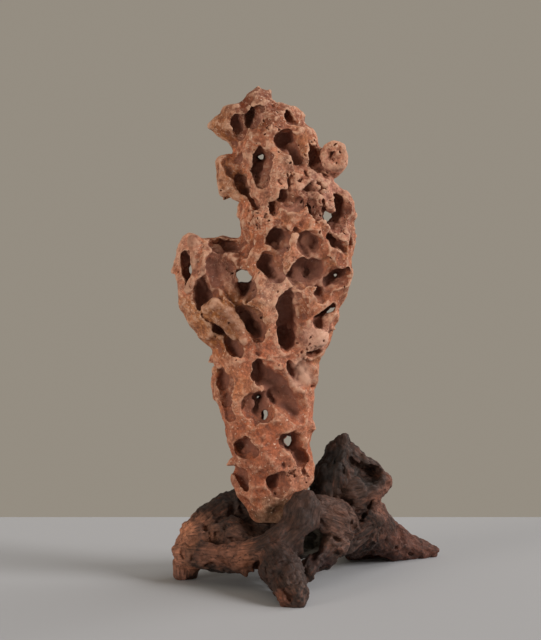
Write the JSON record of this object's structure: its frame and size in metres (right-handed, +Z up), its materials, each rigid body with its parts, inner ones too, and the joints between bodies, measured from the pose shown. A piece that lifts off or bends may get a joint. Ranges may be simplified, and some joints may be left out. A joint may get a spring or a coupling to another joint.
{
  "type": "scholars rock",
  "caption": "Upright scholar's rock, worn through with pits and tunnels, standing in a hollow of its root-wood stand.",
  "frame": {"origin": "centre of the base's bounding box, on the floor plane under the stand's soles", "axes": "+Z up along the rock, +X to the right of the pitted front face, +Y to the back"},
  "size_m": [0.416, 0.3984, 0.7389],
  "materials": {
    "stone": "matte, worn",
    "root_wood": "weathered, low sheen"
  },
  "bodies": {
    "root": {"rock": "stone", "stand_heart": "root_wood", "stand_left_root": "root_wood", "stand_front_root": "root_wood", "stand_right_root": "root_wood", "stand_back_root": "root_wood", "stand_peak": "root_wood"}
  },
  "joints": []
}
